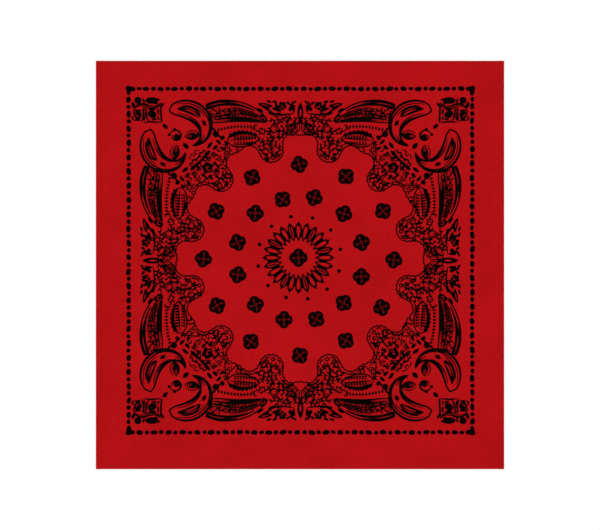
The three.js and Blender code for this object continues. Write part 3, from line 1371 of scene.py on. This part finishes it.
@dataclass(frozen=True)
class PaleTable:
    """The matt white table that the cloth lies on.

    Attributes:
        name: name of the finish.
        white: its colour.
        glow: light of its own, which keeps it pale.
    """

    name: str = "pale table"
    white: tuple[float, float, float] = (0.95, 0.95, 0.95)
    glow: float = 0.12

    def make(self) -> bpy.types.Material:
        """Makes the material: matt white with faint clouds in its roughness.

        Returns:
            The material.
        """
        bench = Bench(self.name)
        bench.feed(bench.shader.inputs["Base Color"], (*self.white, 1.0))
        bench.feed(bench.shader.inputs["Roughness"], bench.math("MULTIPLY_ADD", bench.noise(3.0), 0.1, 0.85))
        bench.feed(bench.shader.inputs["Specular IOR Level"], 0.1)
        bench.feed(bench.shader.inputs["Emission Color"], (1.0, 1.0, 1.0, 1.0))
        bench.feed(bench.shader.inputs["Emission Strength"], self.glow)
        return bench.material


# --------------------------------------------------------------------------- the cloth's form
# Lengths of the cloth and the hems are in millimetres until a mesh is made.


@dataclass(frozen=True)
class Swell:
    """An oval where the relaxed cloth stands off the table.

    Attributes:
        x: its middle, to the right.
        y: its middle, to the top.
        length: its long axis.
        width: its short axis.
        turn: angle of the long axis, in degrees.
        lift: height at its middle.
    """

    x: float
    y: float
    length: float
    width: float
    turn: float
    lift: float

    def height(self, x: np.ndarray, y: np.ndarray) -> np.ndarray:
        """The lift over the oval: it falls by half a cosine from the middle to the oval's edge."""
        angle = np.radians(self.turn)
        along = (x - self.x) * np.cos(angle) + (y - self.y) * np.sin(angle)
        across = (y - self.y) * np.cos(angle) - (x - self.x) * np.sin(angle)
        reach = np.hypot(2.0 * along / self.length, 2.0 * across / self.width)
        return self.lift * 0.5 * (1.0 + np.cos(np.pi * np.minimum(reach, 1.0)))


def eased(t: np.ndarray) -> np.ndarray:
    """Rises smoothly from 0 at t = 0 to 1 at t = 1: three t squared less two t cubed."""
    held = np.clip(t, 0.0, 1.0)
    return held * held * (3.0 - 2.0 * held)


@dataclass(frozen=True)
class ClothForm:
    """How the hemmed cloth lies: its thickness, its turned edge and its soft swells.

    Attributes:
        half: half of the finished side.
        hem: width of the turned hem.
        thick: thickness of the cotton.
        air: room between two layers of a hem.
        table_gap: height of a hem over the table, which its stitches take.
        stitch_line: distance of the stitches from the outer edge.
        panel_edge: distance from the outer edge at which the face turns into the fold.
        tent: distance over which the face falls from the hem to the table.
        corner_growth: share by which the layers grow at a corner.
    """

    half: float
    hem: float
    thick: float = 0.36
    air: float = 0.12
    table_gap: float = 0.1
    stitch_line: float = 4.9
    panel_edge: float = 0.5
    tent: float = 6.0
    corner_growth: float = 0.42

    SWELLS = (
        Swell(-142.0, 118.0, 230.0, 84.0, 38.0, 0.5),
        Swell(128.0, 152.0, 190.0, 66.0, -22.0, 0.4),
        Swell(22.0, -18.0, 300.0, 96.0, 12.0, 0.46),
        Swell(-168.0, -132.0, 160.0, 72.0, -41.0, 0.44),
        Swell(150.0, -140.0, 240.0, 78.0, 55.0, 0.52),
    )

    def layer(self, number: int) -> float:
        """Height of the middle of a hem's layer, counted from the table."""
        return self.table_gap + self.thick / 2.0 + number * (self.thick + self.air)

    def growth(self, x: np.ndarray, y: np.ndarray) -> np.ndarray:
        """How much the layers grow: from 1 along a side to more at a corner, eased over 6 mm."""
        inner = np.minimum(np.abs(x), np.abs(y))
        return 1.0 + self.corner_growth * eased((inner - (self.half - 2.0 * self.hem)) / self.hem)

    def ripple(self, x: np.ndarray, y: np.ndarray) -> np.ndarray:
        """Small waves that sewing leaves along a hem: three sines of the way along the side."""
        way = np.where(np.abs(x) < np.abs(y), x, y)
        waves = np.sin(way / 4.3) + 0.8 * np.sin(way / 7.7 + 1.7) + 0.6 * np.sin(way / 13.9 + 0.4)
        return 0.035 * waves

    def face(self, x: np.ndarray, y: np.ndarray) -> np.ndarray:
        """Height of the printed face.

        On the hem it is the top of three layers, pressed a little at the stitches. From the hem's
        inner fold it falls, eased, to the cloth's own thickness and the swells.

        Args:
            x: places to the right.
            y: places to the top.

        Returns:
            The heights.
        """
        edge = self.half - np.maximum(np.abs(x), np.abs(y))
        on_hem = 1.0 - eased((edge - self.hem - 0.3) / self.tent)
        pressed = 0.1 * np.exp(-(((edge - self.stitch_line) / 0.8) ** 2))
        turned = 0.12 * (1.0 - eased(edge / 1.6))
        stack = (self.layer(2) + self.thick / 2.0) * self.growth(x, y) + self.ripple(x, y) - pressed - turned
        lifts = sum(swell.height(x, y) for swell in self.SWELLS)
        rest = self.thick + 0.02 + lifts
        return on_hem * stack + (1.0 - on_hem) * rest


def new_piece(
    name: str,
    corners: np.ndarray,
    faces: Sequence[Sequence[int]],
    finish: bpy.types.Material,
    smooth: bool = True,
) -> bpy.types.Object:
    """Makes an object from corners in millimetres and its faces.

    Args:
        name: the object's name.
        corners: one row to a corner.
        faces: corner numbers of each face.
        finish: its material.
        smooth: whether it is shaded smooth.

    Returns:
        The object, at the origin, with its place in its mesh.
    """
    mesh = bpy.data.meshes.new(name)
    mesh.from_pydata((corners * MM).tolist(), [], faces)
    mesh.materials.append(finish)
    mesh.update()
    mesh.polygons.foreach_set("use_smooth", np.full(len(mesh.polygons), smooth))
    piece = bpy.data.objects.new(name, mesh)
    bpy.context.scene.collection.objects.link(piece)
    return piece


@dataclass(frozen=True)
class FlatSheet:
    """A flat sheet cut into triangles, with the ink inlaid.

    Attributes:
        places: the triangles' corners.
        triangles: three corner numbers to a triangle, anticlockwise.
        inked: whether each triangle is printed.
        border: corner numbers round the sheet, anticlockwise.
    """

    places: np.ndarray
    triangles: np.ndarray
    inked: np.ndarray
    border: np.ndarray

    @classmethod
    def inlay(cls, art: Artwork, half: float, extra: np.ndarray) -> "FlatSheet":
        """Cuts a square sheet along every edge of the artwork.

        The facets are turned anticlockwise, laid over each other and cut into triangles. A
        triangle is inked when the highest layer that covers it is an odd one.

        Args:
            art: the print.
            half: half of the sheet's side.
            extra: further corners, which carry the relief.

        Returns:
            The sheet.
        """
        quads = art.corners[art.facets]
        x, y = quads[..., 0], quads[..., 1]
        area = np.sum(x * np.roll(y, -1, 1) - np.roll(x, -1, 1) * y, axis=1)
        facets = np.where(area[:, None] < 0.0, art.facets[:, ::-1], art.facets)
        spots = np.concatenate([art.corners, extra])
        # corners nearer than this become one; with 0.01 nearly the whole sheet came out inked
        merge_distance = 1e-3
        cut = delaunay_2d_cdt(spots.tolist(), [], facets.tolist(), 0, merge_distance, True)
        places = np.array([tuple(spot) for spot in cut[0]])
        triangles = np.array(cut[2])
        counts = np.array([len(covers) for covers in cut[5]])
        covers = np.array([number for covers in cut[5] for number in covers], int)
        highest = np.zeros(len(triangles), int)
        np.maximum.at(highest, np.repeat(np.arange(len(triangles)), counts), art.layers[covers])
        rim = np.flatnonzero(np.max(np.abs(places), axis=1) > half - 1e-4)
        order = np.argsort(np.arctan2(places[rim, 1], places[rim, 0]))
        return cls(places, triangles, highest % 2 == 1, rim[order])


@dataclass
class Panel:
    """The printed cotton, one closed shell from fold to fold.

    Attributes:
        form: how the cloth lies.
        ghost: strength of the print on the back, where the ink shows through.
        support: distance between the corners that carry the swells.
        rim_support: distance between the corners that carry the turned edge.
        print_shift: place of the print's middle on the cloth.
        cut: side of the square cut, with the turnings, in metres; not used.
    """

    form: ClothForm
    ghost: float = 0.42
    support: float = 18.0
    rim_support: float = 9.0
    print_shift: tuple[float, float] = (0.6, 6.0)
    cut: float = 0.572

    # distances of the rows of corners from the sheet's own edge
    RIM_ROWS = (0.0, 0.5, 1.4, 3.2, 4.4, 5.4, 6.6, 8.4, 12.0)

    def support_places(self, half: float) -> np.ndarray:
        """Corners that carry the relief: an even grid, and square rows that follow the turned edge.

        Args:
            half: half of the sheet's side.

        Returns:
            The corners.
        """
        inner = half - self.RIM_ROWS[-1] - 4.0
        line = np.linspace(-inner, inner, int(2 * inner / self.support) + 1)
        grid = np.stack(np.meshgrid(line, line), -1).reshape(-1, 2)
        rows = [grid]
        for distance in self.RIM_ROWS:
            reach = half - distance
            way = np.linspace(-reach, reach, int(2 * half / self.rim_support) + 1)[:-1]
            side = np.stack([way, np.full(len(way), -reach)], -1)
            for _ in range(4):
                rows.append(side)
                side = np.stack([-side[:, 1], side[:, 0]], -1)
        return np.concatenate(rows)

    def shell(self, face: FlatSheet, back: FlatSheet) -> tuple[np.ndarray, np.ndarray, np.ndarray]:
        """Closes a face and a back into one shell.

        Face corners stand at the form's height, back corners a thickness lower, and two
        triangles join each stretch of the border.

        Args:
            face: the printed sheet.
            back: the sheet under it.

        Returns:
            The corners, the triangles and the ink of each triangle.
        """
        top = self.form.face(face.places[:, 0], face.places[:, 1])
        low = self.form.face(back.places[:, 0], back.places[:, 1]) - self.form.thick
        corners = np.concatenate([np.column_stack([face.places, top]), np.column_stack([back.places, low])])
        start = len(face.places)
        a, b = face.border, np.roll(face.border, -1)
        c, d = back.border + start, np.roll(back.border, -1) + start
        wall = np.concatenate([np.stack([c, d, b], -1), np.stack([c, b, a], -1)])
        triangles = np.concatenate([face.triangles, back.triangles[:, ::-1] + start, wall])
        ink = np.concatenate([face.inked.astype(float), self.ghost * back.inked, np.zeros(len(wall))])
        return corners, triangles, ink

    def map_corners(self, mesh: bpy.types.Mesh, face_count: int, wall_count: int) -> None:
        """Lays the shell out flat: the face large, the back small beside it, the wall as a thin strip.

        Args:
            mesh: the shell's mesh.
            face_count: number of triangles on the face.
            wall_count: number of triangles in the wall.
        """
        corner = np.empty(len(mesh.loops), int)
        mesh.loops.foreach_get("vertex_index", corner)
        spots = np.empty(3 * len(mesh.vertices))
        mesh.vertices.foreach_get("co", spots)
        flat = spots.reshape(-1, 3)[corner, :2] / (2.0 * self.form.half * MM) + 0.5
        part = np.full(len(corner), 1)
        part[: 3 * face_count] = 0
        part[-3 * wall_count:] = 2
        angle = np.arctan2(flat[:, 1] - 0.5, flat[:, 0] - 0.5) / (2.0 * np.pi) + 0.5
        strip = np.stack([0.01 + 0.97 * angle, 0.985 + 0.01 * (spots.reshape(-1, 3)[corner, 2] > 0.0008)], -1)
        laid = np.choose(part[:, None], [0.005 + 0.725 * flat, (0.735, 0.005) + 0.26 * flat, strip])
        mesh.uv_layers.new(name="OFBake").uv.foreach_set("vector", laid.astype(np.float32).ravel())

    def build(self) -> bpy.types.Object:
        """Returns:
            The panel.
        """
        half = self.form.half - self.form.panel_edge
        extra = self.support_places(half)
        shift = move(*self.print_shift)
        face = FlatSheet.inlay(BandanaPrint().draw().copied([shift]), half, extra)
        back = FlatSheet.inlay(BandanaPrint().draw_bold().copied([shift]), half, extra)
        corners, triangles, ink = self.shell(face, back)
        dyed_cotton = Cotton("printed cotton", printed=True).make()
        piece = new_piece("printed_panel", corners, triangles.tolist(), dyed_cotton)
        piece.data.attributes.new("ink", "FLOAT", "FACE").data.foreach_set("value", ink.astype(np.float32))
        self.map_corners(piece.data, len(face.triangles), 2 * len(face.border))
        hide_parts("panel")
        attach(piece, "root")
        dark = int(np.sum(ink > 0))
        LOG.info("panel: %d corners, %d triangles, %d of them inked", len(corners), len(triangles), dark)
        return piece


# --------------------------------------------------------------------------- hems and stitches


@dataclass
class TurnedHem:
    """One hem: the fold round the cloth's edge, the layer on the back and the layer tucked inside.

    Attributes:
        name: the hem's name.
        form: how the cloth lies.
        turn: quarter turns that carry the hem from the top edge to its own.
        full: whether it runs to the corners.
        seam_gap: room between a short hem and the full ones.
        step: distance between two sections.
    """

    name: str
    form: ClothForm
    turn: int
    full: bool
    seam_gap: float = 0.3
    step: float = 4.0

    def section(self) -> np.ndarray:
        """The middle line of the folded cloth, cut across: outwards from the cloth's middle, and up.

        Half an oval round the edge, the layer on the back inwards, half a circle for the inner
        fold, and the tucked layer outwards again.

        Returns:
            The line, one row to a point.
        """
        form = self.form
        low, tucked, high = form.layer(0), form.layer(1), form.layer(2) - 0.12
        outer, inner = form.half - form.panel_edge - 0.05, form.half - form.hem + 0.3
        t = np.linspace(0.5 * np.pi, -0.5 * np.pi, 9)
        fold = np.stack([outer + 0.37 * np.cos(t), 0.5 * (high + low) + 0.5 * (high - low) * np.sin(t)], -1)
        under = np.stack([np.linspace(outer - 1.0, inner + 1.0, 4), np.full(4, low)], -1)
        turn_radius = 0.5 * (tucked - low)
        turn_height = 0.5 * (tucked + low)
        turn_in = np.stack([inner - turn_radius * np.cos(t), turn_height - turn_radius * np.sin(t)], -1)
        inside_layer = np.stack([np.linspace(inner + 1.0, outer - 1.2, 4), np.full(4, tucked)], -1)
        return np.concatenate([fold, under, turn_in, inside_layer])

    def loop(self) -> np.ndarray:
        """The section as a closed loop: its middle line moved half a thickness to each side."""
        line = self.section()
        side = leftward(line) * (0.5 * self.form.thick)
        return np.concatenate([line + side, (line - side)[::-1]])

    def build(self, finish: bpy.types.Material) -> bpy.types.Object:
        """Carries the section along the side, closes its ends and turns it to its own edge.

        Args:
            finish: the hem's material.

        Returns:
            The hem.
        """
        form = self.form
        end = form.half - 0.05 if self.full else form.half - form.hem - self.seam_gap
        count = int(2.0 * end / self.step) + 1
        inner = end - 2.0 * form.hem
        way = np.concatenate([
            np.linspace(-end, -inner, 9)[:-1],
            np.linspace(-inner, inner, count),
            np.linspace(inner, end, 9)[1:],
        ])
        loop = self.loop()
        sides = len(loop)
        x = np.repeat(way, sides).reshape(-1, sides)
        out = np.tile(loop[:, 0], (len(way), 1))
        share = loop[:, 1] / (form.layer(2) + form.thick / 2.0)
        up = loop[:, 1] * form.growth(x, np.full_like(x, form.half)) + share * form.ripple(x, out)
        corners = np.stack([x, out, up], -1).reshape(-1, 3)
        station, k = np.mgrid[0: len(way) - 1, 0:sides]
        here, beside = station * sides + k, station * sides + (k + 1) % sides
        walls = np.stack([here, here + sides, beside + sides, beside], -1).reshape(-1, 4)
        k = np.arange(sides // 2 - 1)
        cap = np.stack([k, k + 1, sides - 2 - k, sides - 1 - k], -1)
        last = (len(way) - 1) * sides
        faces = np.concatenate([walls, cap, cap[:, ::-1] + last])
        for _ in range(self.turn):
            corners = np.stack([-corners[:, 1], corners[:, 0], corners[:, 2]], -1)
        piece = new_piece(f"{self.name}_fold", corners, faces.tolist(), finish)
        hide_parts(self.name)
        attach(piece, "root")
        LOG.info("%s: %d faces", self.name, len(faces))
        return piece


@dataclass
class HemStitches:
    """The row of lock stitches that holds one hem down, as it shows on the face and on the back.

    Attributes:
        hem: the hem that they hold.
        pitch: distance from stitch to stitch.
        length: length of thread that shows of a stitch.
        radius: half of the thread's thickness.
        stand: how far the thread stands off the cloth.
        seed: start of the random draws.
    """

    hem: TurnedHem
    pitch: float = 2.5
    length: float = 2.05
    radius: float = 0.17
    stand: float = 0.05
    seed: int = 5

    def build(self, finish: bpy.types.Material) -> bpy.types.Object:
        """Builds all the stitches of the row as one mesh.

        A stitch is a round thread carried along a low arch: it leaves the cloth, runs along it
        and goes in again. Its radius shrinks at both ends, and each stitch lies a little askew.

        Args:
            finish: the thread's material.

        Returns:
            The row of stitches.
        """
        form = self.hem.form
        draws = np.random.default_rng(self.seed + self.hem.turn)
        end = form.half - form.stitch_line - (0.0 if self.hem.full else 2.0)
        count = int(2.0 * end / self.pitch)
        middle = np.tile((np.arange(count) + 0.5) * (2.0 * end / count) - end, 2)
        on_face = np.arange(2 * count) < count
        middle = middle + np.where(on_face, 0.0, 0.5 * self.pitch)
        askew = draws.uniform(-0.09, 0.09, 2 * count)
        drift = draws.uniform(-0.08, 0.08, 2 * count)
        t = np.linspace(0.0, 1.0, 7)
        along = self.length * (t - 0.5)
        x = middle[:, None] + along
        y = form.half - form.stitch_line + drift[:, None] + along * askew[:, None]
        arch = (self.stand + self.radius) * np.sin(np.pi * t) ** 0.5 - self.radius
        bed = np.where(on_face[:, None], form.face(x, y), form.table_gap * form.growth(x, y))
        z = bed + np.where(on_face[:, None], arch, -0.3 * arch)
        thick = self.radius * np.where(on_face, 1.0, 0.55)[:, None] * (0.55 + 0.45 * np.sin(np.pi * t) ** 0.5)
        around = np.linspace(0.0, 2.0 * np.pi, 7)[:-1]
        ring_y = y[..., None] + thick[..., None] * 1.15 * np.cos(around)
        ring_z = z[..., None] + thick[..., None] * np.sin(around)
        corners = np.stack([np.broadcast_to(x[..., None], ring_y.shape), ring_y, ring_z], -1).reshape(-1, 3)
        sides, rings = len(around), len(t)
        s, k = np.mgrid[0: rings - 1, 0:sides]
        here, beside = s * sides + k, s * sides + (k + 1) % sides
        walls = np.stack([here, beside, beside + sides, here + sides], -1).reshape(-1, 4)
        low = np.arange(sides)[::-1]
        high = np.arange(sides) + (rings - 1) * sides
        caps = np.array([
            *([c[0], c[1], c[2], c[3]] for c in (low, high)),
            *([c[3], c[4], c[5], c[0]] for c in (low, high)),
        ])
        one = np.concatenate([walls, caps])
        faces = (one[None] + (np.arange(2 * count) * sides * rings)[:, None, None]).reshape(-1, 4)
        for _ in range(self.hem.turn):
            corners = np.stack([-corners[:, 1], corners[:, 0], corners[:, 2]], -1)
        piece = new_piece(f"{self.hem.name}_stitches", corners, faces.tolist(), finish)
        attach(piece, "root")
        LOG.info("%s: %d stitches", piece.name, 2 * count)
        return piece


# --------------------------------------------------------------------------- the set


@dataclass(frozen=True)
class StudioTable:
    """The pale table, the soft light and the camera straight above.

    Attributes:
        side: side of the table, in metres.
        lens: the camera's focal length, in millimetres.
        film: width of its film, in millimetres.
        view_width: width of the table that the camera sees, in metres.
        sky: brightness of the even light.
        lamp: strength of the slanting light.
    """

    side: float = 12.0
    lens: float = 85.0
    film: float = 36.0
    view_width: float = 0.8088
    sky: float = 0.86
    lamp: float = 0.56

    def build(self) -> None:
        """Builds the table, the light and the camera."""
        way = np.linspace(-0.5, 0.5, 13) * self.side / MM
        x, y = np.meshgrid(way, way)
        row, column = np.mgrid[0:12, 0:12]
        near = row * 13 + column
        faces = np.stack([near, near + 1, near + 14, near + 13], -1).reshape(-1, 4)
        corners = np.stack([x, y, np.zeros_like(x)], -1).reshape(-1, 3)
        new_piece("table", corners, faces.tolist(), PaleTable().make())
        world = bpy.data.worlds.new("studio")
        world.use_nodes = True
        world.node_tree.nodes["Background"].inputs["Color"].default_value = (1.0, 1.0, 1.0, 1.0)
        world.node_tree.nodes["Background"].inputs["Strength"].default_value = self.sky
        bpy.context.scene.world = world
        sun = bpy.data.lights.new("window", "SUN")
        sun.energy = self.lamp
        sun.angle = np.radians(30.0)
        lamp = bpy.data.objects.new("window", sun)
        lamp.rotation_euler = (np.radians(38.0), np.radians(-22.0), 0.0)
        bpy.context.scene.collection.objects.link(lamp)
        camera = bpy.data.cameras.new("camera")
        camera.lens = self.lens
        camera.sensor_width = self.film
        camera.clip_end = 50.0
        viewer = bpy.data.objects.new("camera", camera)
        viewer.location = (0.0, 0.0, self.view_width * self.lens / self.film)
        bpy.context.scene.collection.objects.link(viewer)
        bpy.context.scene.camera = viewer
        bpy.context.scene.view_settings.view_transform = "Standard"


def main() -> None:
    """Builds the set, the panel, the hems and their stitches, and reports each."""
    logging.basicConfig(level=logging.INFO, format="%(name)s: %(message)s")
    StudioTable().build()
    low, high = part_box("hem_top")
    form = ClothForm(half=high[0] / MM, hem=(high[1] - low[1]) / MM)
    panel = Panel(form).build()
    hem_cotton, thread = Cotton("hem cotton").make(), SewingThread().make()
    sides = (
        ("hem_top", 0, True), ("hem_left", 1, False), ("hem_bottom", 2, True), ("hem_right", 3, False),
    )
    for name, turn, full in sides:
        hem = TurnedHem(name, form, turn, full)
        hem.build(hem_cotton)
        HemStitches(hem).build(thread)


if __name__ == "__main__":
    main()
